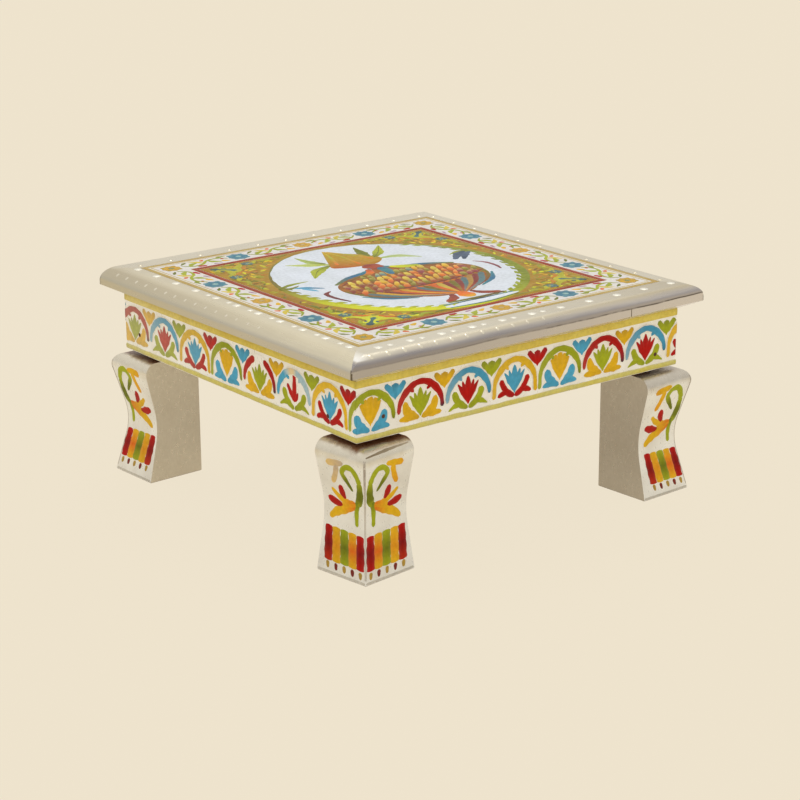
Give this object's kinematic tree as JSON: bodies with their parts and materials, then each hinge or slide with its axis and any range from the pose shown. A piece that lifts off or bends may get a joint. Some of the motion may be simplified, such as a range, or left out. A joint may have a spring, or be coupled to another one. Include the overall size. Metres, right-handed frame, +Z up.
{
  "type": "bajot low table",
  "caption": "Low square table with a moulded board, painted apron band and S-curved legs, clad in thin white metal, for raising a lamp, idol or dish off the floor.",
  "frame": {"origin": "on the floor under the middle of the table", "axes": "+Z up; the front faces -Y, the right side +X; all four sides are alike but for the paint"},
  "size_m": [0.3048, 0.3048, 0.1529],
  "materials": {
    "board_wood": "plain sawn board, unfinished under the metal",
    "frame_wood": "dark brown stain",
    "leg_wood": "dark brown stain",
    "dowel_wood": "plain",
    "white_metal": "satin, hand burnished, lightly embossed",
    "painted_panel": "glossy enamel colours on a white ground",
    "painted_ribbon": "glossy enamel colours between bright metal lines",
    "nail_steel": "dark, slightly rusted"
  },
  "bodies": {
    "root": {"apron_ribbon": "painted_ribbon", "board_nails": "nail_steel", "corner_block_back_left": "frame_wood", "corner_block_back_right": "frame_wood", "corner_block_front_left": "frame_wood", "corner_block_front_right": "frame_wood", "leg_core_back_left": "leg_wood", "leg_core_back_right": "leg_wood", "leg_core_front_left": "leg_wood", "leg_core_front_right": "leg_wood", "leg_dowels": "dowel_wood", "leg_sheath_back_left": "white_metal", "leg_sheath_back_right": "white_metal", "leg_sheath_front_left": "white_metal", "leg_sheath_front_right": "white_metal", "rail_back": "frame_wood", "rail_front": "frame_wood", "rail_left": "frame_wood", "rail_nails": "nail_steel", "rail_right": "frame_wood", "rim_sheet_back": "white_metal", "rim_sheet_front": "white_metal", "rim_sheet_left": "white_metal", "rim_sheet_right": "white_metal", "top_board": "board_wood", "top_panel": "painted_panel"}
  },
  "joints": []
}
